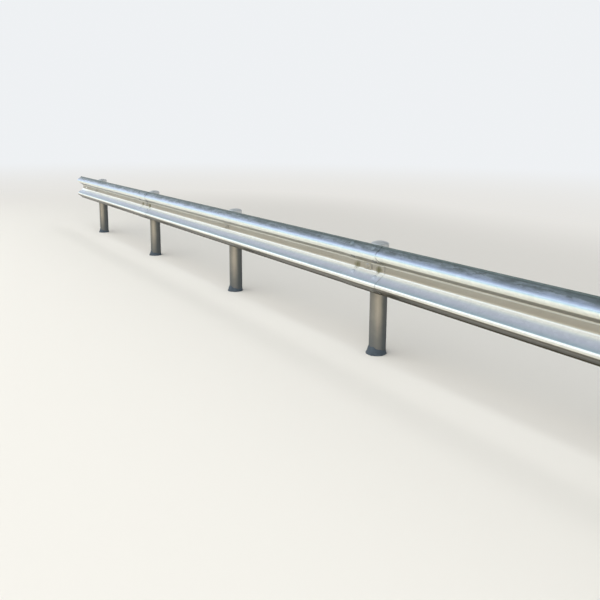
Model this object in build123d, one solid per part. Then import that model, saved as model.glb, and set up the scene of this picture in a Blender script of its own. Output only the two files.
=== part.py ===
from build123d import *
import os

os.makedirs("parts", exist_ok=True)

# Roadside guardrail: a two-wave steel beam on round posts, five bays long, in millimetres.
# X runs along the rail, the traffic face looks towards -Y and Z is up.
# The origin is on the ground at the axis of the first post, by the row's free end.

# Row
bay_count = 5
post_spacing = 2000.0
bays_per_beam = 2
first_lap_bay = 1
end_beam_reach = 2500.0
rail_centre_height = 600.0

# Pressed beam, its section given on the real outside faces
rail_height = 310.0
rail_depth = 85.0
rail_thickness = 3.0
crest_spacing = 192.0
edge_set_forward = 27.0
web_angle = 55.0
lip_angle = 10.0
wave_inner_radius = 24.0
lip_inner_radius = 10.0

# Lap joint between two beams
lap_length = 320.0
lap_clearance = 0.3
lap_run_out = 10.0
lap_ramp = 60.0

# Slots in the beam
post_slot_length = 60.0
post_slot_height = 20.0
splice_slot_length = 30.0
splice_slot_width = 24.0
splice_column_pitch = 216.0

# Tube post and its through bolt hole
post_diameter = 114.0
post_wall = 4.5
post_top_below_beam_edge = 17.0
bolt_hole_diameter = 18.0

# Pressed steel cap on the post
cap_wall = 1.5
cap_skirt = 26.0
cap_shoulder = 5.0
cap_dome_rise = 12.0
cap_fit_gap = 0.3

# Pressed channel between post and beam
bracket_stand_off = 31.0
bracket_width = 70.0
bracket_gap_to_cap = 12.0
bracket_wall = 4.5
bracket_inner_radius = 5.0
bracket_fit_gap = 0.3

# Mortar collar round the foot of the post
collar_foot_diameter = 150.0
collar_top_diameter = 128.0
collar_height = 48.0
collar_edge = 6.0
collar_fit_gap = 0.3

# Worked out from the sizes above
post_radius = post_diameter / 2
post_height = rail_centre_height + rail_height / 2 - post_top_below_beam_edge
bracket_reach = post_height - cap_skirt - bracket_gap_to_cap - rail_centre_height
beam_back_y = -(post_radius + bracket_stand_off)
sheet_middle_y = beam_back_y - rail_thickness / 2
post_places = [index * post_spacing for index in range(bay_count + 1)]
first_lap_x = first_lap_bay * post_spacing
beam_reach = bays_per_beam * post_spacing
beam_count = 1 + (bay_count - first_lap_bay) // bays_per_beam


def turned(angle):
    # direction of the sheet after leaning forwards from upright by the angle
    return Vector(0, 1).rotate(Axis.Z, angle)


def bend_span(radius, first_angle, last_angle):
    # forward and upward reach of a bend between two leans of the sheet
    forward = radius * (turned(last_angle).Y - turned(first_angle).Y)
    upward = radius * (turned(first_angle).X - turned(last_angle).X)
    return abs(forward), abs(upward)


# Lengths of the straight stretches in the middle of the sheet
wave_bend = wave_inner_radius + rail_thickness / 2
lip_bend = lip_inner_radius + rail_thickness / 2
web_forward = -turned(web_angle).X
web_upward = turned(web_angle).Y
lip_back = -turned(lip_angle).X
lip_upward = turned(lip_angle).Y
wave_forward, wave_upward = bend_span(wave_bend, 0, web_angle)
lip_bend_back, lip_bend_upward = bend_span(lip_bend, lip_angle, web_angle)

wave_depth = rail_depth - rail_thickness
inner_web_length = (wave_depth - 2 * wave_forward) / web_forward
valley_flat_half = crest_spacing / 2 - 2 * wave_upward - inner_web_length * web_upward

# The outer web and the lip share what is left of the height and of the way back
rim_upward = rail_thickness / 2 * lip_back
spare_upward = (rail_height - crest_spacing) / 2 - wave_upward - lip_bend_upward - rim_upward
spare_back = wave_depth - edge_set_forward - wave_forward - lip_bend_back
slope_product = web_forward * lip_upward - lip_back * web_upward
outer_web_length = (spare_back * lip_upward - spare_upward * lip_back) / slope_product
lip_length = (spare_upward * web_forward - spare_back * web_upward) / slope_product


def half_sheet(shift):
    # upper half of the wave, shifted forwards from the middle of the sheet
    valley = JernArc((-shift, valley_flat_half), (0, 1), wave_bend - shift, web_angle)
    inner_web = Line(valley @ 1, valley @ 1 + (valley % 1) * inner_web_length)
    crest = JernArc(inner_web @ 1, inner_web % 1, wave_bend + shift, -2 * web_angle)
    outer_web = Line(crest @ 1, crest @ 1 + (crest % 1) * outer_web_length)
    lip = JernArc(outer_web @ 1, outer_web % 1, lip_bend - shift, web_angle - lip_angle)
    edge = Line(lip @ 1, lip @ 1 + (lip % 1) * lip_length)
    return [valley, inner_web, crest, outer_web, lip, edge]


def beam_section(forward):
    # closed outline of the pressed sheet, moved forwards by the lap where it overlaps
    front_shift = forward + rail_thickness / 2
    back_shift = forward - rail_thickness / 2
    front = half_sheet(front_shift)
    back = half_sheet(back_shift)
    rim = Line(front[-1] @ 1, back[-1] @ 1)
    upper = front + back + [rim]
    lower = [mirror(piece, about=Plane.XZ) for piece in upper]
    flats = [
        Line((-shift, -valley_flat_half), (-shift, valley_flat_half))
        for shift in (front_shift, back_shift)
    ]
    return make_face(upper + lower + flats)


def section_at(x, forward):
    place = Plane(
        origin=(x, sheet_middle_y, rail_centre_height),
        x_dir=(0, 1, 0),
        z_dir=(1, 0, 0),
    )
    return place * beam_section(forward)


def slot_through(x, y, z, normal, length, width):
    # round-ended slot, its long side along the beam, cut square through the sheet
    place = Plane(origin=(x, y, z), x_dir=(1, 0, 0), z_dir=normal)
    reach = 4 * rail_thickness + lap_clearance
    return extrude(place * SlotOverall(length, width), reach, both=True)


def splice_slots(x):
    # two columns of four slots on the sloping webs, on both sides of the post bolt
    middle = half_sheet(0)
    slots = []
    for web in (middle[1], middle[3]):
        at = web @ 0.5
        along = web % 0.5
        for side in (1, -1):
            normal = (0, along.Y, -along.X * side)
            for column in (-1, 1):
                slots.append(
                    slot_through(
                        x + column * splice_column_pitch / 2,
                        sheet_middle_y + at.X,
                        rail_centre_height + side * at.Y,
                        normal,
                        splice_slot_length,
                        splice_slot_width,
                    )
                )
    return slots


def rail_panel(low_joint_x, high_joint_x, laps_over):
    # one beam between two splices: its high end may lie in front of the next beam
    low_x = low_joint_x - lap_length / 2
    high_x = high_joint_x + lap_length / 2
    if laps_over:
        lap_shift = rail_thickness + lap_clearance
        ramp_x = high_x - lap_length - lap_run_out
        plain_x = ramp_x - lap_ramp
        beam = extrude(section_at(low_x, 0), plain_x - low_x)
        beam += loft([section_at(plain_x, 0), section_at(ramp_x, lap_shift)], ruled=True)
        beam += extrude(section_at(ramp_x, lap_shift), high_x - ramp_x)
    else:
        beam = extrude(section_at(low_x, 0), high_x - low_x)
    inner_posts = [x for x in post_places if low_joint_x < x < high_joint_x]
    for x in [low_joint_x] + inner_posts + [high_joint_x]:
        beam -= slot_through(
            x,
            sheet_middle_y,
            rail_centre_height,
            (0, 1, 0),
            post_slot_length,
            post_slot_height,
        )
    for x in (low_joint_x, high_joint_x):
        beam -= splice_slots(x)
    return beam


def bolt_hole(x):
    # through hole for the post bolt, across the row
    place = Plane(origin=(x, 0, rail_centre_height), z_dir=(0, 1, 0))
    return extrude(place * Circle(bolt_hole_diameter / 2), post_diameter, both=True)


def post(x):
    tube = Circle(post_radius) - Circle(post_radius - post_wall)
    return extrude(Pos(x, 0, 0) * tube, post_height) - bolt_hole(x)


def cap_line(inset):
    # half section of the cap from the skirt's rim to the crown, inset from the outside
    skirt_radius = post_radius + cap_fit_gap + cap_wall
    shoulder_z = post_height + cap_shoulder
    rim = (skirt_radius - inset, post_height - cap_skirt)
    skirt_top = (skirt_radius - inset, post_height)
    dome_foot = (skirt_radius - cap_shoulder, shoulder_z - inset)
    crown = (0, shoulder_z + cap_dome_rise - inset)
    skirt = Line(rim, skirt_top)
    shoulder = Line(skirt_top, dome_foot)
    dome = TangentArc(crown, dome_foot, tangent=(1, 0))
    return [skirt, shoulder, dome]


def post_cap(x):
    outside = cap_line(0)
    inside = cap_line(cap_wall)
    rim = Line(outside[0] @ 0, inside[0] @ 0)
    crown = Line(outside[-1] @ 0, inside[-1] @ 0)
    half_section = Plane.XZ * make_face(outside + inside + [rim, crown])
    return Pos(x, 0, 0) * revolve(half_section, Axis.Z)


def bracket(x):
    # pressed channel: web against the beam, flanges cut to sit on the round post
    outer = Pos(0, beam_back_y / 2) * Rectangle(bracket_width, -beam_back_y)
    outer = fillet(outer.vertices().group_by(Axis.Y)[0], bracket_inner_radius + bracket_wall)
    inner_depth = -beam_back_y - bracket_wall
    inner = Pos(0, -inner_depth / 2) * Rectangle(bracket_width - 2 * bracket_wall, inner_depth)
    inner = fillet(inner.vertices().group_by(Axis.Y)[0], bracket_inner_radius)
    foot_z = rail_centre_height - bracket_reach
    channel = extrude(Pos(x, 0, foot_z) * (outer - inner), 2 * bracket_reach)
    seat = extrude(Pos(x, 0, 0) * Circle(post_radius + bracket_fit_gap), post_height)
    return channel - seat - bolt_hole(x)


def grout_collar(x):
    foot_radius = collar_foot_diameter / 2
    top_radius = collar_top_diameter / 2
    bore_radius = post_radius + collar_fit_gap
    outline = Polyline(
        (bore_radius, 0),
        (foot_radius, 0),
        (top_radius, collar_height - collar_edge),
        (top_radius - collar_edge, collar_height),
        (bore_radius, collar_height),
        close=True,
    )
    return Pos(x, 0, 0) * revolve(Plane.XZ * make_face(outline), Axis.Z)


def save(part, name, colour):
    part.label = name
    part.color = Color(colour)
    export_step(part, "parts/" + name + ".step")


splice_places = [first_lap_x + index * beam_reach for index in range(beam_count)]
beam_ends = [first_lap_x - end_beam_reach] + splice_places
for number in range(1, beam_count + 1):
    panel = rail_panel(beam_ends[number - 1], beam_ends[number], number < beam_count)
    save(panel, "rail_panel_" + str(number), 0xC4CDD4)

for number, x in enumerate(post_places, start=1):
    save(post(x), "post_" + str(number), 0xA9A496)
    save(post_cap(x), "post_cap_" + str(number), 0xB4BABC)
    save(bracket(x), "bracket_" + str(number), 0x9AA0A2)
    save(grout_collar(x), "grout_collar_" + str(number), 0x9FAAB5)
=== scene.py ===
import math

import bmesh
import bpy
from mathutils import Matrix, Vector, noise


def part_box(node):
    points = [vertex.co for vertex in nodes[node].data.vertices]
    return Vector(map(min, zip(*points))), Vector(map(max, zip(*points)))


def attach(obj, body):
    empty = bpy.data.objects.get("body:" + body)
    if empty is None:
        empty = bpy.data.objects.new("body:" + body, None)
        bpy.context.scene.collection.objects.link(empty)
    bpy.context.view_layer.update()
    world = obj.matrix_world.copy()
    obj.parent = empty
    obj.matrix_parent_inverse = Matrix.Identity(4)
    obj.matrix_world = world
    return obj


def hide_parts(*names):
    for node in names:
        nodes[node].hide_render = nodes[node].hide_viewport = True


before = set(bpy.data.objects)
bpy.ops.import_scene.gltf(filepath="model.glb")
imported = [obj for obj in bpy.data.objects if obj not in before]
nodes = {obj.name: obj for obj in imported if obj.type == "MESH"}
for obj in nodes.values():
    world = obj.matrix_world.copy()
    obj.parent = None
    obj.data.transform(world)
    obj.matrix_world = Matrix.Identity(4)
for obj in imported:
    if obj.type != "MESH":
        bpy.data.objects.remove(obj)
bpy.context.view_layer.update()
print("frame loaded,", len(nodes), "nodes")


def boxOf(name):
    low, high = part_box(name)
    return Vector(low), Vector(high)


postLow, postHigh = boxOf("post_1")
panelLow, panelHigh = boxOf("rail_panel_3")
lapLow = boxOf("rail_panel_1")[0]

# the row's own measures in metres, most of them read from the CAD nodes
row = {
    "postCount": sum(name.startswith("bracket_") for name in nodes),
    "spacing": boxOf("post_2")[0].x - postLow.x,
    "beamCentre": (panelLow.z + panelHigh.z) / 2,
    "beamTop": panelHigh.z,
    "beamBack": panelHigh.y,             # back of the valley, on the bracket's face
    "sheet": 0.003,                      # thickness of the beam's steel
    "lapShift": panelLow.y - lapLow.y,   # how far the lapping sheet stands in front
    "postRadius": (postHigh.x - postLow.x) / 2,
    "splices": [
        (boxOf("rail_panel_%d" % number)[1].x + boxOf("rail_panel_%d" % (number + 1))[0].x) / 2
        for number in (1, 2)
    ],
    "columnPitch": 0.216,                # between the two bolt columns of a splice
}


# helpers for node trees

class Wire:
    # one output socket, so that node maths reads as plain sums
    def __init__(self, graph, socket):
        self.graph = graph
        self.socket = socket

    def __add__(self, other):
        return self.graph.maths("ADD", self, other)

    def __radd__(self, other):
        return self.graph.maths("ADD", other, self)

    def __sub__(self, other):
        return self.graph.maths("SUBTRACT", self, other)

    def __rsub__(self, other):
        return self.graph.maths("SUBTRACT", other, self)

    def __mul__(self, other):
        return self.graph.maths("MULTIPLY", self, other)

    def __rmul__(self, other):
        return self.graph.maths("MULTIPLY", other, self)

    def __truediv__(self, other):
        return self.graph.maths("DIVIDE", self, other)

    def size(self):
        return self.graph.maths("ABSOLUTE", self)

    def least(self, other):
        return self.graph.maths("MINIMUM", self, other)

    def most(self, other):
        return self.graph.maths("MAXIMUM", self, other)

    def clamped(self):
        return self.graph.node("ShaderNodeClamp", {}, {"Value": self})

    def between(self, low, high):
        # 0 at low, 1 at high, smooth on the way
        sockets = {"Value": self, "From Min": low, "From Max": high}
        return self.graph.node("ShaderNodeMapRange", {"interpolation_type": "SMOOTHSTEP"}, sockets)

    def output(self, name):
        return Wire(self.graph, self.socket.node.outputs[name])


class Graph:
    # adds nodes to one tree: first a node's settings, then its socket values and links
    def __init__(self, tree):
        self.tree = tree

    def node(self, kind, settings=None, sockets=None, out=0):
        made = self.tree.nodes.new(kind)
        for name, value in (settings or {}).items():
            setattr(made, name, value)
        for name, value in (sockets or {}).items():
            if isinstance(value, Wire):
                self.tree.links.new(value.socket, made.inputs[name])
            else:
                made.inputs[name].default_value = value
        return Wire(self, made.outputs[out]) if len(made.outputs) else made

    def maths(self, operation, *values):
        return self.node("ShaderNodeMath", {"operation": operation}, dict(enumerate(values)))

    def tones(self, value, stops):
        # colour by a value from -1 to 1
        shade = self.node("ShaderNodeValToRGB", {}, {"Fac": value * 0.5 + 0.5})
        ramp = shade.socket.node.color_ramp
        while len(ramp.elements) < len(stops):
            ramp.elements.new(1.0)
        for element, (place, colour) in zip(ramp.elements, stops):
            element.position = place * 0.5 + 0.5
            element.color = (*colour, 1.0)
        return shade

    def blend(self, mask, first, second, how="MIX"):
        # colour mix: the first where the mask is 0, the second where it is 1
        colours = [c if isinstance(c, Wire) else (*c, 1.0) for c in (first, second)]
        settings = {"data_type": "RGBA", "blend_type": how}
        return self.node("ShaderNodeMix", settings, {0: mask, 6: colours[0], 7: colours[1]}, out=2)

    def cloud(self, where, scale, detail, roughness, stretch=None):
        if stretch:
            where = self.node("ShaderNodeMapping", {}, {"Vector": where, "Scale": stretch})
        sockets = {"Vector": where, "Scale": scale, "Detail": detail, "Roughness": roughness}
        return self.node("ShaderNodeTexNoise", {}, sockets)

    def parts(self, vector):
        split = self.node("ShaderNodeSeparateXYZ", {}, {"Vector": vector})
        return split.output("X"), split.output("Y"), split.output("Z")

    def normal(self):
        return self.node("ShaderNodeNewGeometry", out="Normal")

    def bump(self, height, distance, strength):
        sockets = {"Height": height, "Distance": distance, "Strength": strength}
        return self.node("ShaderNodeBump", {}, sockets)


def newFinish(name):
    finish = bpy.data.materials.new(name)
    finish.use_nodes = True
    finish.node_tree.nodes.clear()
    graph = Graph(finish.node_tree)
    where = graph.node("ShaderNodeTexCoord", out="Object")
    return finish, graph, where


def closeFinish(graph, sockets):
    shader = graph.node("ShaderNodeBsdfPrincipled", {}, sockets)
    graph.node("ShaderNodeOutputMaterial", {}, {"Surface": shader})


# finishes, with each cloud's scale, detail and roughness, and its stretch where it is drawn out

beamLook = {
    # clean zinc, with its crystals
    "dark": (0.60, 0.61, 0.62),
    "light": (0.78, 0.79, 0.80),
    "spangleScale": 55.0,
    "mottle": (7.0, 4.0, 0.6, (0.5, 1.0, 1.0)),
    "fine": (85.0, 3.0, 0.55),
    "ripples": (2.2, 2.0, 0.55, (0.8, 5.0, 5.0)),
    "reliefDepth": 0.0035,
    "roughLow": 0.24,
    "roughHigh": 0.34,
    "frontTurns": (-0.45, -0.20),    # Y of the normal from the front, with its painted light, to the plain back
    "waves": (-0.02, 0.02),          # heights from the beam's centre from the lower wave to the upper
    # tones of each wave's front by how far the sheet looks up, painted light and shade: painted highlights on
    # the crests, painted blue-grey sky reflection on the webs that look up, and painted shade on the parts
    # that look down
    "upperTones": (
        (-0.80, (0.97, 0.94, 0.80)),
        (-0.20, (0.92, 0.97, 0.92)),
        (0.00, (0.76, 0.92, 0.94)),
        (0.17, (0.53, 0.71, 0.86)),
        (0.35, (0.36, 0.47, 0.63)),
        (0.50, (0.33, 0.39, 0.53)),
        (0.72, (0.37, 0.42, 0.53)),
        (0.80, (0.55, 0.62, 0.80)),
    ),
    "lowerTones": (
        (-0.34, (0.13, 0.12, 0.095)),
        (-0.20, (0.85, 0.83, 0.74)),
        (0.30, (0.84, 0.88, 0.86)),
        (0.55, (0.62, 0.74, 0.80)),
    ),
    # painted sky reflection on the lower web that looks up, lighter towards its top, by its height from the
    # beam's centre in tenths of a metre
    "webTones": (
        (-0.80, (0.20, 0.27, 0.31)),
        (-0.60, (0.42, 0.46, 0.57)),
        (-0.48, (0.53, 0.59, 0.69)),
        (-0.42, (0.70, 0.77, 0.82)),
        (-0.36, (0.96, 1.00, 1.00)),
    ),
    "webTurns": (0.42, 0.62),        # Z of the normal, as in the other turns below
    # painted shade low on the upper web that looks down
    "undersideShade": (0.31, 0.285, 0.24),
    "undersideShadeTurns": (-0.815, -0.78),
    "undersideShadeHeights": (0.056, 0.066),
    # grey haze over all the tones
    "haze": (0.62, 0.64, 0.66),
    "hazeShare": 0.12,
    # light and dark of the crystals, which multiply the tones
    "grainDark": (0.91, 0.91, 0.92),
    "grainLight": (1.06, 1.06, 1.05),
    "grainShare": 0.8,
    # painted shade on the lowest part
    "bottomShade": (0.072, 0.067, 0.048),
    "bottomShadeHeights": (-0.126, -0.112),
    "bottomShadeLip": (-0.152, -0.146),
    # painted tan reflection of the ground in the valley
    "groundReflection": (0.33, 0.30, 0.24),
    "groundReflectionHeights": (0.030, 0.050),
    "groundReflectionGrows": (-0.40, -0.20),  # Z of the normal
    "groundReflectionEnds": (0.35, 0.60),
    "cleanTurns": (-0.15, 0.25),     # the rinsed upper crest, which mirrors less
    # painted dark reflection along the top edge, in metres below it
    "paintedTop": (0.075, 0.100, 0.095),
    "paintedTopPale": (0.20, 0.24, 0.25),
    "paintedTopDepths": (-0.042, -0.016),
    "paintedTopWander": 0.008,
    "paintedTopShare": 0.88,
    "blotches": (4.0, 5.0, 0.66, (1.8, 6.0, 6.0)),
    "paleEnds": (0.38, 0.66),
    "rimDepths": (-0.016, -0.010),
    "rimShare": 0.7,
    "speck": (0.045, 0.052, 0.050),
    "specks": (1.0, 4.0, 0.68, (16.0, 46.0, 46.0)),
    "speckEnds": (0.50, 0.62),
    "speckPatches": (0.34, 0.54),
    "speckShare": 0.62,
    # dark olive marks in the valley beside the splice bolts
    "darkMark": (0.115, 0.108, 0.040),
    "darkMarkLength": 0.036,
    "darkMarkHeight": 0.026,
    "darkMarkDrop": 0.006,
    "darkMarkNoise": (1.0, 4.0, 0.7, (30.0, 16.0, 16.0)),
    "darkMarkRagged": 2.8,
    "darkMarkEnds": (-0.2, 1.4),
    "darkMarkShare": 0.9,
}


def makeBeamSteel(look):
    finish, graph, where = newFinish("beamSteel")
    x, z = graph.parts(where)[::2]
    up = z - row["beamCentre"]
    backwards, facing = graph.parts(graph.normal())[1:]
    front = 1.0 - backwards.between(*look["frontTurns"])
    upper = up.between(*look["waves"])
    cells = graph.node("ShaderNodeTexVoronoi", {}, {
        "Vector": where, "Scale": look["spangleScale"],
    }, out="Color")
    spangle = graph.node("ShaderNodeSeparateColor", {}, {"Color": cells}, out="Red")
    mottle = graph.cloud(where, *look["mottle"])
    fine = graph.cloud(where, *look["fine"])
    tone = (spangle * 0.22 + mottle * 0.9 + fine * 0.14 - 0.12).clamped()
    zinc = graph.blend(tone, look["dark"], look["light"])

    # the front's tones, with painted highlights, reflections and shade
    lowerTone, upperTone = (graph.tones(facing, look[wave]) for wave in ("lowerTones", "upperTones"))
    frontGrainAndPaintedLight = graph.blend(upper, lowerTone, upperTone)
    # painted sky reflection on the lower web that looks up, which also mirrors less
    webReflection = (1.0 - upper) * front * facing.between(*look["webTurns"])
    frontGrainAndPaintedLight = graph.blend(webReflection, frontGrainAndPaintedLight, graph.tones(up * 10.0, look["webTones"]))
    # painted shade under the upper crest
    undersideShade = upper * (1.0 - facing.between(*look["undersideShadeTurns"])) * (1.0 - up.between(*look["undersideShadeHeights"]))
    frontGrainAndPaintedLight = graph.blend(undersideShade, frontGrainAndPaintedLight, look["undersideShade"])
    frontGrainAndPaintedLight = graph.blend(tone * look["hazeShare"], frontGrainAndPaintedLight, look["haze"])
    # painted shade on the lowest part of the front
    frontGrainAndPaintedLight = graph.blend(1.0 - up.between(*look["bottomShadeHeights"]), frontGrainAndPaintedLight, look["bottomShade"])
    grain = (spangle * 0.7 + fine * 0.5 - 0.1).clamped()
    shade = graph.blend(grain, look["grainDark"], look["grainLight"])
    frontGrainAndPaintedLight = graph.blend(look["grainShare"], frontGrainAndPaintedLight, shade, "MULTIPLY")
    colour = graph.blend(front, zinc, frontGrainAndPaintedLight)
    # painted shade on the lowest lip, front and back
    colour = graph.blend(1.0 - up.between(*look["bottomShadeLip"]), colour, look["bottomShade"])

    # painted reflection of the ground in the valley, stronger where the sheet looks down
    valley = 1.0 - up.size().between(*look["groundReflectionHeights"])
    thick = 0.5 + facing.between(*look["groundReflectionGrows"]) * 0.5
    groundReflection = valley * front * thick * (1.0 - facing.between(*look["groundReflectionEnds"]))
    colour = graph.blend(groundReflection * (0.80 + mottle * 0.2), colour, look["groundReflection"])
    clean = upper * front * (1.0 - undersideShade) * (1.0 - facing.between(*look["cleanTurns"]))

    # painted dark reflection along the top edge, with pale blotches, dark specks and a dark rim
    blotches = graph.cloud(where, *look["blotches"])
    pale = blotches.between(*look["paleEnds"])
    height = z - row["beamTop"]
    edge = (height + (1.0 - pale) * look["paintedTopWander"]).between(*look["paintedTopDepths"])
    rim = height.between(*look["rimDepths"])
    paintedTop = graph.blend(pale, look["paintedTop"], look["paintedTopPale"])
    colour = graph.blend(edge * look["paintedTopShare"], colour, paintedTop)
    specks = graph.cloud(where, *look["specks"])
    speck = specks.between(*look["speckEnds"]) * edge * front * blotches.between(*look["speckPatches"])
    colour = graph.blend(speck * look["speckShare"], colour, look["speck"])
    colour = graph.blend(rim * look["rimShare"], colour, look["paintedTop"])

    # dark marks in the valley, two at each splice
    first, second = row["splices"]
    toSplice = (x - first).size().least((x - second).size())
    along = (toSplice - row["columnPitch"] / 2).size() / look["darkMarkLength"]
    across = (up + look["darkMarkDrop"]).size() / look["darkMarkHeight"]
    markNoise = graph.cloud(where, *look["darkMarkNoise"])
    spread = along * along + across * across + markNoise * look["darkMarkRagged"] - look["darkMarkRagged"] / 2
    darkMark = (1.0 - spread.between(*look["darkMarkEnds"])) * front * look["darkMarkShare"]
    colour = graph.blend(darkMark, colour, look["darkMark"])

    # the painted reflections and the dark marks also take the shine off
    rough = look["roughLow"] + mottle * (look["roughHigh"] - look["roughLow"]) + spangle * 0.04
    rough = rough + groundReflection * 0.10 + edge * 0.14 + webReflection * 0.12 + darkMark * 0.2
    metal = 1.0 - groundReflection * 0.2 - webReflection * 0.5 - clean * 0.45 - edge * 0.4 - darkMark * 0.5
    relief = graph.cloud(where, *look["ripples"]) + mottle * 0.06 + spangle * 0.006 + fine * 0.006
    closeFinish(graph, {
        "Base Color": colour, "Roughness": rough.clamped(), "Metallic": metal.clamped(),
        "Normal": graph.bump(relief, look["reliefDepth"], 0.5),
    })
    return finish


postLook = {
    # painted light and shade round the tube, from -1 on the lit side to 1 on the shaded side
    "round": (
        (-1.00, (0.19, 0.185, 0.17)),
        (-0.55, (0.28, 0.265, 0.225)),
        (-0.18, (0.44, 0.395, 0.32)),
        (0.14, (0.36, 0.33, 0.27)),
        (0.48, (0.135, 0.14, 0.13)),
        (1.00, (0.080, 0.086, 0.086)),
    ),
    "shadedSide": (0.55, 0.835, 0.0),
    "mottle": (14.0, 5.0, 0.65),
    "wander": 0.25,                  # how far the mottle shifts those tones
    "back": (-0.50, 0.866, 0.0),     # plain zinc tone on the back, where the painted light and shade give way
    "backTurns": (0.58, 0.92),
    "backShare": 0.85,
    "plain": (0.27, 0.265, 0.245),
    # light and dark patches, which multiply the tones
    "fine": (120.0, 2.0, 0.55),
    "streaks": (40.0, 4.0, 0.55, (1.0, 1.0, 0.12)),
    "patchDark": (0.80, 0.80, 0.82),
    "patchLight": (1.18, 1.17, 1.15),
    "patchShare": 0.9,
    # dark blue-grey towards the foot
    "footTint": (0.070, 0.083, 0.090),
    "footTintHeights": (0.020, 0.330),
    "footTintEdge": (12.0, 5.0, 0.6),
    "footTintRagged": 0.09,
    "footTintShare": 0.78,
    "reliefDepth": 0.0016,
    "roughness": 0.46,
    "metallic": 0.50,
}


def makePostSteel(look):
    finish, graph, where = newFinish("postSteel")
    z = graph.parts(where)[2]
    mottle = graph.cloud(where, *look["mottle"])
    fine = graph.cloud(where, *look["fine"])
    streaks = graph.cloud(where, *look["streaks"])
    tone = (mottle * 0.8 + streaks * 0.5 + fine * 0.2 - 0.25).clamped()
    shadedSide, back = (
        graph.node("ShaderNodeVectorMath", {"operation": "DOT_PRODUCT"}, {
            0: graph.normal(), 1: look[side],
        }, out="Value")
        for side in ("shadedSide", "back")
    )
    # painted light and shade round the tube
    colour = graph.tones(shadedSide + (mottle - 0.5) * look["wander"], look["round"])
    colour = graph.blend(back.between(*look["backTurns"]) * look["backShare"], colour, look["plain"])
    patches = graph.blend(tone, look["patchDark"], look["patchLight"])
    colour = graph.blend(look["patchShare"], colour, patches, "MULTIPLY")
    level = z + (graph.cloud(where, *look["footTintEdge"]) - 0.5) * look["footTintRagged"]
    footTint = 1.0 - level.between(*look["footTintHeights"])
    colour = graph.blend(footTint * look["footTintShare"], colour, look["footTint"])
    relief = mottle * 0.4 + fine * 0.08 + footTint * 0.10
    closeFinish(graph, {
        "Base Color": colour, "Roughness": (look["roughness"] + mottle * 0.2 + footTint * 0.2).clamped(),
        "Metallic": look["metallic"] - footTint * 0.45, "Normal": graph.bump(relief, look["reliefDepth"], 0.5),
    })
    return finish


# heads of the splice bolts, with the same painted reflection and shade bands by height as the webs that they
# sit on
headLook = {
    "perMetre": 7.0,                 # takes heights from the beam's centre to the ramp's -1 to 1
    "tones": (
        (-0.90, (0.22, 0.22, 0.20)),
        (-0.62, (0.44, 0.50, 0.59)),
        (-0.16, (0.44, 0.50, 0.59)),
        (0.16, (0.20, 0.19, 0.16)),
        (0.90, (0.19, 0.24, 0.28)),
    ),
    "mottle": (80.0, 4.0, 0.6),
    "dirt": (0.20, 0.20, 0.19),
    "dirtShare": 0.15,
    "metallic": 0.30,
    "roughness": 0.55,
}


def makeHeadSteel(look):
    finish, graph, where = newFinish("headSteel")
    height = graph.parts(where)[2] - row["beamCentre"]
    # painted reflection and shade by height
    tone = graph.tones(height * look["perMetre"], look["tones"])
    mottle = graph.cloud(where, *look["mottle"])
    closeFinish(graph, {
        "Base Color": graph.blend(mottle * look["dirtShare"], tone, look["dirt"]),
        "Roughness": look["roughness"] + mottle * 0.1, "Metallic": look["metallic"],
    })
    return finish


# plain galvanised finishes
capLook = {
    "dark": (0.44, 0.46, 0.47),
    "light": (0.66, 0.68, 0.69),
    "metallic": 0.80,
    "roughness": 0.30,
    "mottle": (22.0, 5.0, 0.65),
    "fine": (176.0, 2.0, 0.55),
}
bracketLook = {
    "dark": (0.40, 0.41, 0.41),
    "light": (0.58, 0.59, 0.59),
    "metallic": 0.80,
    "roughness": 0.36,
    "mottle": (24.0, 5.0, 0.65),
    "fine": (192.0, 2.0, 0.55),
}
boltLook = {
    "dark": (0.15, 0.16, 0.155),
    "light": (0.30, 0.30, 0.285),
    "metallic": 0.60,
    "roughness": 0.50,
    "mottle": (60.0, 5.0, 0.65),
    "fine": (480.0, 2.0, 0.55),
}


def makeGalvanised(name, look):
    finish, graph, where = newFinish(name)
    mottle = graph.cloud(where, *look["mottle"])
    fine = graph.cloud(where, *look["fine"])
    tone = (mottle * 1.1 + fine * 0.3 - 0.25).clamped()
    closeFinish(graph, {
        "Base Color": graph.blend(tone, look["dark"], look["light"]),
        "Roughness": look["roughness"] + mottle * 0.16, "Metallic": look["metallic"],
        "Normal": graph.bump(mottle * 0.6 + fine * 0.04, 0.0010, 0.5),
    })
    return finish


mortarLook = {
    "dark": (0.036, 0.051, 0.069),
    "light": (0.082, 0.108, 0.138),
    "sand": (0.20, 0.19, 0.17),      # grains that show
    "sandEnds": (0.58, 0.70),
    "sandShare": 0.6,
    "broad": (22.0, 5.0, 0.6),
    "grain": (260.0, 4.0, 0.7),
    "pitScale": 130.0,
    "pitReach": 0.28,
    "roughness": 0.74,
}


def makeMortar(look):
    finish, graph, where = newFinish("mortar")
    broad = graph.cloud(where, *look["broad"])
    grain = graph.cloud(where, *look["grain"])
    colour = graph.blend((broad * 1.4 - 0.2).clamped(), look["dark"], look["light"])
    colour = graph.blend(grain.between(*look["sandEnds"]) * look["sandShare"], colour, look["sand"])
    pits = graph.node("ShaderNodeTexVoronoi", {}, {
        "Vector": where, "Scale": look["pitScale"],
    }, out="Distance")
    relief = broad * 0.6 + grain * 0.45 + pits.between(0.0, look["pitReach"]) * 0.25
    closeFinish(graph, {
        "Base Color": colour, "Roughness": (look["roughness"] + grain * 0.2).clamped(), "Metallic": 0.0,
        "Normal": graph.bump(relief, 0.0030, 0.8),
    })
    return finish


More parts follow.
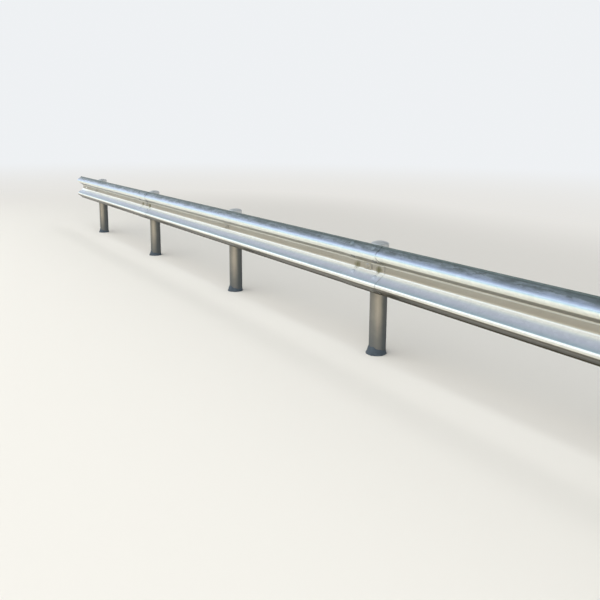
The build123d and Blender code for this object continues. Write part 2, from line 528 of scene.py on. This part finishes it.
beamSteel = makeBeamSteel(beamLook)
postSteel = makePostSteel(postLook)
capSteel = makeGalvanised("capSteel", capLook)
bracketSteel = makeGalvanised("bracketSteel", bracketLook)
headSteel = makeHeadSteel(headLook)
boltSteel = makeGalvanised("boltSteel", boltLook)
mortarFinish = makeMortar(mortarLook)

finishOfNode = {
    "rail_panel": beamSteel,
    "post_cap": capSteel,
    "bracket": bracketSteel,
    "grout_collar": mortarFinish,
    "post": postSteel,
}
for name, piece in nodes.items():
    finish = finishOfNode[name.rsplit("_", 1)[0]]
    for materialSlot in piece.material_slots:
        materialSlot.material = finish
print("finishes on the CAD nodes")


# fasteners, by Geometry Nodes

fastener = {
    "shank": 0.016,
    "acrossFlats": 0.024,
    "nutHeight": 0.013,
    "washer": 0.034,
    "washerThick": 0.003,
    "roundHead": 0.034,
    "roundHeadHeight": 0.0070,
    "tip": 0.0015,           # bolt past the nut, behind a post
    "spliceTip": 0.005,      # and behind a splice
    "pitch": 0.002,
    "plate": (0.076, 0.044, 0.003),
    "plateCorner": 0.005,
    "plateSeat": 0.0018,     # the plate bridges the rounded valley
    "sharpFrom": math.radians(32),
    "seed": 7,
    "spliceSeed": 27,
}

# mid points of the sloping webs, forward of the sheet's middle and above the beam's centre
webPlaces = {
    "slope": math.radians(55.0),
    "inner": (0.0410, 0.0540),
    "outer": (0.0517, 0.1305),
}


class ShapeGraph(Graph):
    # the same for a geometry tree, with its named inputs
    def __init__(self, name, inputs):
        tree = bpy.data.node_groups.new(name, "GeometryNodeTree")
        super().__init__(tree)
        tree.interface.new_socket("Geometry", in_out="OUTPUT", socket_type="NodeSocketGeometry")
        kinds = {float: "NodeSocketFloat", int: "NodeSocketInt"}
        for label, value in inputs.items():
            socket = tree.interface.new_socket(label, in_out="INPUT", socket_type=kinds[type(value)])
            socket.default_value = value
        self.inputs = inputs
        self.entry = tree.nodes.new("NodeGroupInput")

    def given(self, label):
        return Wire(self, self.entry.outputs[label])

    def vector(self, x=0.0, y=0.0, z=0.0):
        return self.node("ShaderNodeCombineXYZ", {}, {"X": x, "Y": y, "Z": z})

    def moved(self, shape, offset=None, turn=None):
        sockets = {"Geometry": shape}
        if offset is not None:
            sockets["Translation"] = offset
        if turn is not None:
            sockets["Rotation"] = turn
        return self.node("GeometryNodeTransform", {}, sockets)

    def joined(self, *shapes):
        join = self.tree.nodes.new("GeometryNodeJoinGeometry")
        for shape in shapes:
            self.tree.links.new(shape.socket, join.inputs[0])
        return Wire(self, join.outputs[0])

    def hexagon(self, flats, height, bevel=0.14):
        # six-sided block from z = 0 to the height, its top bevelled by a share of that
        straight = 1.0 - bevel
        block = self.node("GeometryNodeMeshCylinder", {}, {
            "Vertices": 6, "Radius": flats / math.sqrt(3.0), "Depth": height * straight,
        }, out="Mesh")
        block = self.moved(block, self.vector(z=height * (straight / 2.0)))
        level = self.parts(self.node("GeometryNodeInputNormal"))[2]
        top = self.node("FunctionNodeCompare", {"operation": "GREATER_THAN"}, {"A": level, "B": 0.5})
        grown = self.node("GeometryNodeExtrudeMesh", {}, {
            "Mesh": block, "Selection": top, "Offset Scale": height * bevel,
        })
        return self.node("GeometryNodeScaleElements", {}, {
            "Geometry": grown, "Selection": grown.output("Top"), "Scale": straight,
        })

    def ring(self, outside, hole, thick, steps=40):
        # flat washer from z = 0 to its thickness
        path = self.node("GeometryNodeCurvePrimitiveCircle", {}, {
            "Resolution": steps, "Radius": (outside + hole) / 4.0,
        })
        section = self.node("GeometryNodeCurvePrimitiveQuadrilateral", {}, {
            "Width": (outside - hole) / 2.0, "Height": thick,
        })
        washer = self.node("GeometryNodeCurveToMesh", {}, {"Curve": path, "Profile Curve": section})
        return self.moved(washer, self.vector(z=thick / 2.0))

    def dome(self, width, height, segments=36, rings=20):
        # round head from z = 0 to its height, flat underneath
        ball = self.node("GeometryNodeMeshUVSphere", {}, {
            "Segments": segments, "Rings": rings, "Radius": width / 2.0,
        }, out="Mesh")
        x, y, z = self.parts(self.node("GeometryNodeInputPosition"))
        place = self.vector(x, y, z.most(0.0) * (2.0 * height / width))
        return self.node("GeometryNodeSetPosition", {}, {"Geometry": ball, "Position": place})

    def shank(self, width, low, high, pitch, sides=24, thread=0.07):
        # threaded rod between two heights: rings half a pitch apart, every other one drawn in
        length = high - low
        halfTurns = length / pitch * 2.0
        rod = self.node("GeometryNodeMeshCylinder", {}, {
            "Vertices": sides, "Side Segments": self.maths("ROUND", halfTurns),
            "Radius": width / 2.0, "Depth": length,
        }, out="Mesh")
        x, y, z = self.parts(self.node("GeometryNodeInputPosition"))
        turns = (z + length / 2.0) / pitch * 2.0
        scale = (1.0 - thread) + self.maths("PINGPONG", turns, 1.0) * thread
        rod = self.node("GeometryNodeSetPosition", {}, {
            "Geometry": rod, "Position": self.vector(x * scale, y * scale, z),
        })
        return self.moved(rod, self.vector(z=low + length / 2.0))

    def plate(self, width, height, thick, corner, steps=6):
        # rounded plate washer in the XY plane, from z = 0 to its thickness
        edge = self.node("GeometryNodeCurvePrimitiveQuadrilateral", {}, {"Width": width, "Height": height})
        edge = self.node("GeometryNodeFilletCurve", {"mode": "POLY"}, {
            "Curve": edge, "Radius": corner, "Count": steps,
        })
        face = self.node("GeometryNodeFillCurve", {}, {"Curve": edge})
        top = self.node("GeometryNodeExtrudeMesh", {}, {
            "Mesh": face, "Offset": self.vector(z=1.0), "Offset Scale": thick, "Individual": False,
        })
        under = self.node("GeometryNodeFlipFaces", {}, {"Mesh": face})
        whole = self.joined(top, under)
        return self.node("GeometryNodeMergeByDistance", {}, {"Geometry": whole, "Distance": 0.00001})

    def pointsInLine(self, count, first, step):
        return self.node("GeometryNodeMeshLine", {}, {
            "Count": count, "Start Location": first, "Offset": step,
        })

    def onPoints(self, points, shape, turn=(0.0, 0.0, 0.0)):
        return self.node("GeometryNodeInstanceOnPoints", {}, {
            "Points": points, "Instance": shape, "Rotation": turn,
        })

    def spun(self, copies, seed):
        # each copy gets its own chance turn about its axis
        spin = self.node("FunctionNodeRandomValue", {"data_type": "FLOAT"}, {
            2: 0.0, 3: math.tau, "Seed": seed,
        }, out=1)
        return self.node("GeometryNodeRotateInstances", {}, {
            "Instances": copies, "Rotation": self.vector(z=spin), "Local Space": True,
        })

    def close(self, shape, finish):
        flat = self.node("GeometryNodeRealizeInstances", {}, {"Geometry": shape})
        done = self.node("GeometryNodeSetMaterial", {}, {"Geometry": flat, "Material": finish})
        ending = self.tree.nodes.new("NodeGroupOutput")
        self.tree.links.new(done.socket, ending.inputs["Geometry"])


def grow(graph, pieceName):
    # runs the tree on an empty mesh and keeps the result as a plain mesh
    emptyMesh = bpy.data.meshes.new(pieceName + "Empty")
    piece = bpy.data.objects.new(pieceName, emptyMesh)
    bpy.context.scene.collection.objects.link(piece)
    modifier = piece.modifiers.new("grow", "NODES")
    modifier.node_group = graph.tree
    for item in graph.tree.interface.items_tree:
        if item.in_out == "INPUT":
            modifier[item.identifier] = graph.inputs[item.name]
    seen = piece.evaluated_get(bpy.context.evaluated_depsgraph_get())
    mesh = bpy.data.meshes.new_from_object(seen)
    piece.modifiers.clear()
    piece.data = mesh
    mesh.name = pieceName
    bpy.data.meshes.remove(emptyMesh)
    for polygon in mesh.polygons:
        polygon.use_smooth = True
    mesh.set_sharp_from_angle(angle=fastener["sharpFrom"])
    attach(piece, "root")
    print(pieceName, len(mesh.polygons), "faces")


def alongValley(graph):
    # a point for each post on the front of the valley, further forward where two sheets lap
    given = graph.given
    first = graph.vector(y=row["beamBack"] - row["sheet"], z=row["beamCentre"])
    places = graph.pointsInLine(given("Post Count"), first, graph.vector(x=given("Spacing")))
    x = graph.parts(graph.node("GeometryNodeInputPosition"))[0]
    toSplice = (x - given("First Splice")).size().least((x - given("Second Splice")).size())
    lapped = graph.maths("LESS_THAN", toSplice, given("Spacing") / 2.0)
    offset = graph.vector(y=lapped * given("Lap Shift") * -1.0)
    return graph.node("GeometryNodeSetPosition", {}, {"Geometry": places, "Offset": offset})


rowInputs = {
    "Post Count": row["postCount"], "Spacing": row["spacing"], "First Splice": row["splices"][0],
    "Second Splice": row["splices"][1], "Lap Shift": row["lapShift"],
}
towardsFront = (math.pi / 2, 0.0, 0.0)
awayFromPost = (-math.pi / 2, 0.0, 0.0)


def makePostPlates(sizes):
    # plate washer and bolt head in the valley at each post, their z axis towards the front
    width, height, thick = sizes["plate"]
    graph = ShapeGraph("postPlates", {
        "Plate Width": width, "Plate Height": height, "Plate Thickness": thick,
        "Plate Corner": sizes["plateCorner"], "Plate Seat": sizes["plateSeat"],
        "Head Width": sizes["roundHead"], "Head Height": sizes["roundHeadHeight"], **rowInputs,
    })
    given = graph.given
    plateSizes = (given("Plate " + size) for size in ("Width", "Height", "Thickness", "Corner"))
    plate = graph.plate(*plateSizes)
    head = graph.moved(graph.dome(given("Head Width"), given("Head Height")),
                       graph.vector(z=given("Plate Thickness")))
    front = graph.moved(graph.joined(plate, head), graph.vector(z=given("Plate Seat")))
    graph.close(graph.onPoints(alongValley(graph), front, towardsFront), beamSteel)
    grow(graph, "post_plates")


def makePostNuts(sizes):
    # washer, nut and bolt end behind each post, their z axis away from it
    graph = ShapeGraph("postNuts", {
        "Across Flats": sizes["acrossFlats"], "Nut Height": sizes["nutHeight"],
        "Washer Width": sizes["washer"], "Washer Thickness": sizes["washerThick"],
        "Shank Width": sizes["shank"], "Thread Pitch": sizes["pitch"], "Tip": sizes["tip"],
        "Post Count": row["postCount"], "Spacing": row["spacing"], "Seed": sizes["seed"],
    })
    given = graph.given
    washer = graph.ring(given("Washer Width"), given("Shank Width"), given("Washer Thickness"))
    nut = graph.moved(graph.hexagon(given("Across Flats"), given("Nut Height")),
                      graph.vector(z=given("Washer Thickness")))
    reach = given("Washer Thickness") + given("Nut Height") + given("Tip")
    # the bolt starts inside the washer
    rod = graph.shank(given("Shank Width"), given("Washer Thickness") * 0.5, reach, given("Thread Pitch"))
    behind = graph.pointsInLine(given("Post Count"), graph.vector(y=row["postRadius"], z=row["beamCentre"]),
                                graph.vector(x=given("Spacing")))
    backs = graph.onPoints(behind, graph.joined(washer, nut, rod), awayFromPost)
    graph.close(graph.spun(backs, given("Seed")), boltSteel)
    grow(graph, "post_nuts")


spliceInputs = {
    "Head Width": fastener["roundHead"], "Head Height": fastener["roundHeadHeight"],
    "Across Flats": fastener["acrossFlats"], "Nut Height": fastener["nutHeight"],
    "Washer Width": fastener["washer"], "Washer Thickness": fastener["washerThick"],
    "Shank Width": fastener["shank"], "Thread Pitch": fastener["pitch"], "Tip": fastener["spliceTip"],
    "Grip": row["sheet"] + row["lapShift"], "Column Pitch": row["columnPitch"],
    "Splice Count": len(row["splices"]), "First Splice": row["splices"][0],
    "Splice Spacing": row["splices"][1] - row["splices"][0], "Seed": fastener["spliceSeed"],
}


def spliceHead(graph):
    # its z axis stands out of the web from z = 0 on the front sheet, as the nut's does
    return graph.dome(graph.given("Head Width"), graph.given("Head Height"))


def spliceNut(graph):
    given = graph.given
    under = given("Grip") * -1.0 - given("Washer Thickness")
    washer = graph.moved(graph.ring(given("Washer Width"), given("Shank Width"), given("Washer Thickness")),
                         graph.vector(z=under))
    nut = graph.moved(graph.hexagon(given("Across Flats"), given("Nut Height")), graph.vector(z=under),
                      (math.pi, 0.0, 0.0))
    # the bolt ends inside its head
    rod = graph.shank(given("Shank Width"), under - given("Nut Height") - given("Tip"),
                      given("Head Height") * 0.2, given("Thread Pitch"))
    return graph.joined(washer, nut, rod)


def makeAtSplices(name, pieceName, shapeOf, finish):
    # sets one shape on each of the eight bolt places of every splice
    graph = ShapeGraph(name, spliceInputs)
    given = graph.given
    shape = shapeOf(graph)
    sheetMiddle = row["beamBack"] - row["sheet"] / 2
    frontFace = row["sheet"] / 2 + row["lapShift"]
    quartets = []
    for web, side in (("inner", 1), ("inner", -1), ("outer", 1), ("outer", -1)):
        forward, upward = webPlaces[web]
        # in the upper wave the inner web looks down and the outer one up, in the lower wave the reverse
        lean = webPlaces["slope"] * (-side if web == "inner" else side)
        out = Vector((0.0, -math.cos(lean), math.sin(lean)))
        middle = Vector((0.0, sheetMiddle - forward, row["beamCentre"] + side * upward))
        at = middle + out * frontFace
        splices = graph.pointsInLine(
            given("Splice Count"),
            graph.vector(given("First Splice") - given("Column Pitch") / 2.0, at.y, at.z),
            graph.vector(x=given("Splice Spacing")),
        )
        columns = graph.pointsInLine(2, (0.0, 0.0, 0.0), graph.vector(x=given("Column Pitch")))
        spots = graph.onPoints(splices, columns)
        places = graph.node("GeometryNodeRealizeInstances", {}, {"Geometry": spots})
        copies = graph.onPoints(places, shape, (math.pi / 2 - lean, 0.0, 0.0))
        quartets.append(graph.spun(copies, given("Seed") + float(len(quartets))))
    graph.close(graph.joined(*quartets), finish)
    grow(graph, pieceName)


makePostPlates(fastener)
makePostNuts(fastener)
makeAtSplices("spliceHeads", "splice_heads", spliceHead, headSteel)
makeAtSplices("spliceNuts", "splice_nuts", spliceNut, boltSteel)


# mortar collars, smeared up on one side where the CAD's are plain rings

collarSizes = {
    "bore": 0.0572,
    "thin": 0.0050,                  # thickness at the foot on the bare side
    "thick": 0.0200,                 # and on the side that the mortar was thrown from
    "low": 0.026,                    # height on the bare side
    "high": 0.056,
    "thickSide": math.radians(-124), # turn of the thick side about the post
    "sideDrift": 0.5,                # how much that turn differs from post to post
    "sideSharp": 1.6,                # how narrow the thick side is
    "slope": 1.3,                    # how fast the mortar thins upwards
    "around": 96,
    "levels": 14,
    "ragged": 0.28,                  # share by which the top edge rises and falls
    "raggedScale": 1.9,
    "lumps": 0.0035,
    "lumpScale": 28.0,
    "grain": 0.0011,
    "grainScale": 160.0,
    "skin": 0.0008,                  # least thickness over the tube
}


def makeCollar(number, sizes):
    at = Vector(((number - 1) * row["spacing"], 0.0, 0.0))
    # each collar reads its own stretch of the noise
    drift = Vector((number * 3.7, number * 1.9, 0.0))
    thickSide = sizes["thickSide"] + noise.noise(drift) * sizes["sideDrift"]
    mesh = bmesh.new()
    rings = []
    for step in range(sizes["levels"] + 1):
        part = step / sizes["levels"]
        ring = []
        for turn in range(sizes["around"]):
            angle = math.tau * turn / sizes["around"]
            around = Vector((math.cos(angle), math.sin(angle), 0.0))
            ragged = noise.noise(around * sizes["raggedScale"] + drift)
            side = (0.5 + 0.5 * math.cos(angle - thickSide)) ** sizes["sideSharp"]
            thickness = sizes["thin"] + (sizes["thick"] - sizes["thin"]) * side
            height = (sizes["low"] + (sizes["high"] - sizes["low"]) * side) * (1.0 + sizes["ragged"] * ragged)
            up = Vector((0.0, 0.0, height * part))
            spot = around * sizes["bore"] + up
            lump = noise.noise(spot * sizes["lumpScale"] + drift) * sizes["lumps"] * (0.25 + side)
            grain = noise.noise(spot * sizes["grainScale"] + drift) * sizes["grain"]
            uneven = (lump + grain) * (1.0 - part * part)
            skin = thickness * (1.0 - part) ** sizes["slope"] + uneven + sizes["skin"]
            reach = sizes["bore"] + max(sizes["skin"], skin)
            ring.append(mesh.verts.new(at + around * reach + up))
        rings.append(ring)
    # the top edge and the foot meet the bore
    for top in (True, False):
        ring = []
        for low in rings[sizes["levels"]]:
            around = (low.co - at) * Vector((1.0, 1.0, 0.0))
            level = low.co.z if top else 0.0
            ring.append(mesh.verts.new(at + around.normalized() * sizes["bore"] + Vector((0.0, 0.0, level))))
        rings.append(ring)
    for low, high in zip(rings, rings[1:] + rings[:1]):
        for turn in range(sizes["around"]):
            after = (turn + 1) % sizes["around"]
            mesh.faces.new((low[turn], low[after], high[after], high[turn]))
    bmesh.ops.recalc_face_normals(mesh, faces=mesh.faces)
    for face in mesh.faces:
        face.smooth = True
    name = "mortar_" + str(number)
    data = bpy.data.meshes.new(name)
    mesh.to_mesh(data)
    mesh.free()
    data.materials.append(mortarFinish)
    piece = bpy.data.objects.new(name, data)
    bpy.context.scene.collection.objects.link(piece)
    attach(piece, "root")
    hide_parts("grout_collar_" + str(number))


for number in range(1, row["postCount"] + 1):
    makeCollar(number, collarSizes)
print("mortar collars made")


# floor, light and camera

floorLook = {
    "colour": (0.80, 0.77, 0.72),
    "roughness": 0.9,
    "reach": 90.0,
    "sweep": (0.79, 0.775, 0.74),    # the floor's tone once its own shading has faded out
    "sweepFrom": 1.2,                # distances from the row
    "sweepTo": 7.0,
    "backdropFrom": 3.0,
    "backdropTo": 22.0,
}
worldLook = {
    "low": (0.86, 0.88, 0.90),
    "high": (0.22, 0.24, 0.25),
    "lowEnds": 0.24,
    "highStarts": 0.62,
    "share": 0.35,                   # how much of it lights matt surfaces
}
# long soft boxes beside the rail, by the elevation from which they shine on the upper wave
lampLook = {
    "frontLow": {"from": 12.0, "to": 32.0, "away": 8.0, "level": 1.15, "colour": (1.0, 0.95, 0.82)},
    "frontMiddle": {"from": 32.0, "to": 58.0, "away": 8.0, "level": 1.10, "colour": (0.95, 0.98, 1.0)},
    "frontHigh": {"from": 58.0, "to": 84.0, "away": 8.0, "level": 0.95, "colour": (0.76, 0.88, 1.0)},
    "back": {"from": 116.0, "to": 126.0, "away": 9.0, "level": 0.8, "colour": (1.0, 1.0, 1.0)},
    # fills that matt surfaces get and the bright metal doesn't mirror
    "fill": {"from": 12.0, "to": 84.0, "away": 9.0, "level": 0.85, "colour": (1.0, 0.98, 0.94)},
    "backFill": {"from": 105.0, "to": 150.0, "away": 9.0, "level": 0.35, "colour": (1.0, 0.99, 0.97)},
}
lampRow = {"middle": -4.0, "length": 60.0, "y": -0.17, "z": 0.69, "unmirrored": ("fill", "backFill")}
cameraLook = {
    "place": (9.1631, -2.7026, 1.4564),
    "focal": 649.63,                 # in pixels of a 600 pixel wide frame
    "yaw": -56.625,
    "pitch": 9.641,
    "roll": 0.417,
    "middleRow": 240.0,              # the frame is shifted, so the lens axis meets it on this row
    "frame": 600.0,
    "sensor": 36.0,
    "farthest": 500.0,
}


def seenDirectly(graph):
    # 1 for what the lens, a mirror or glass shows, 0 for light on matt surfaces
    ray = graph.node("ShaderNodeLightPath", out="Is Camera Ray")
    return ray.most(ray.output("Is Glossy Ray")).most(ray.output("Is Transmission Ray"))


def makeFloor(look):
    finish, graph, where = newFinish("paleFloor")
    x, y = graph.parts(where)[:2]
    half = (row["postCount"] - 1) * row["spacing"] / 2
    past = ((x - half).size() - half).most(0.0)
    away = graph.maths("SQRT", past * past + y * y)
    ground = graph.node("ShaderNodeBsdfPrincipled", {}, {
        "Base Color": (*look["colour"], 1.0), "Roughness": look["roughness"],
    })
    far = away.between(look["backdropFrom"], look["backdropTo"])
    colour = graph.blend(far, look["sweep"], worldLook["low"])
    sweep = graph.node("ShaderNodeEmission", {}, {"Color": colour, "Strength": 1.0})
    fade = away.between(look["sweepFrom"], look["sweepTo"]) * seenDirectly(graph)
    shader = graph.node("ShaderNodeMixShader", {}, {0: fade, 1: ground, 2: sweep})
    graph.node("ShaderNodeOutputMaterial", {}, {"Surface": shader})
    reach = look["reach"]
    corners = [(-reach, -reach, 0), (reach, -reach, 0), (reach, reach, 0), (-reach, reach, 0)]
    data = bpy.data.meshes.new("floor")
    data.from_pydata(corners, [], [(0, 1, 2, 3)])
    data.materials.append(finish)
    floor = bpy.data.objects.new("floor", data)
    bpy.context.scene.collection.objects.link(floor)


def makeWorld(look):
    world = bpy.data.worlds.new("studio")
    world.use_nodes = True
    world.node_tree.nodes.clear()
    graph = Graph(world.node_tree)
    up = graph.parts(graph.node("ShaderNodeTexCoord", out="Generated"))[2]
    colour = graph.blend(up.between(look["lowEnds"], look["highStarts"]), look["low"], look["high"])
    strength = look["share"] + seenDirectly(graph) * (1.0 - look["share"])
    glow = graph.node("ShaderNodeBackground", {}, {"Color": colour, "Strength": strength})
    graph.node("ShaderNodeOutputWorld", {}, {"Surface": glow})
    bpy.context.scene.world = world


def makeLamps(look, line):
    for name, box in look.items():
        low, high = math.radians(box["from"]), math.radians(box["to"])
        middle, half = (low + high) / 2, (high - low) / 2
        away = box["away"] * math.cos(half)
        target = Vector((line["middle"], line["y"], line["z"]))
        place = target + Vector((0.0, -math.cos(middle), math.sin(middle))) * away
        data = bpy.data.lights.new(name, "AREA")
        data.shape = "RECTANGLE"
        data.size = line["length"]
        data.size_y = 2 * box["away"] * math.sin(half)
        data.energy = box["level"] * math.pi * data.size * data.size_y
        data.color = box["colour"]
        lamp = bpy.data.objects.new(name, data)
        bpy.context.scene.collection.objects.link(lamp)
        lamp.location = place
        lamp.rotation_euler = (target - place).to_track_quat("-Z", "Y").to_euler()
        lamp.visible_camera = False
        lamp.visible_glossy = name not in line["unmirrored"]


def makeCamera(look):
    yaw, pitch, roll = (math.radians(look[key]) for key in ("yaw", "pitch", "roll"))
    ahead = Vector((math.sin(yaw) * math.cos(pitch), math.cos(yaw) * math.cos(pitch), -math.sin(pitch)))
    right = Vector((math.cos(yaw), -math.sin(yaw), 0.0))
    above = right.cross(ahead)
    rightTurned = right * math.cos(roll) + above * math.sin(roll)
    aboveTurned = above * math.cos(roll) - right * math.sin(roll)
    data = bpy.data.cameras.new("camera")
    data.sensor_width = look["sensor"]
    data.lens = look["focal"] / look["frame"] * data.sensor_width
    data.shift_y = look["middleRow"] / look["frame"] - 0.5
    data.clip_end = look["farthest"]
    camera = bpy.data.objects.new("camera", data)
    bpy.context.scene.collection.objects.link(camera)
    turn = Matrix((rightTurned, aboveTurned, -ahead)).transposed()
    camera.matrix_world = Matrix.Translation(look["place"]) @ turn.to_4x4()
    bpy.context.scene.camera = camera


makeFloor(floorLook)
makeWorld(worldLook)
makeLamps(lampLook, lampRow)
makeCamera(cameraLook)
bpy.context.scene.view_settings.view_transform = "Standard"
print("floor, light and camera set")
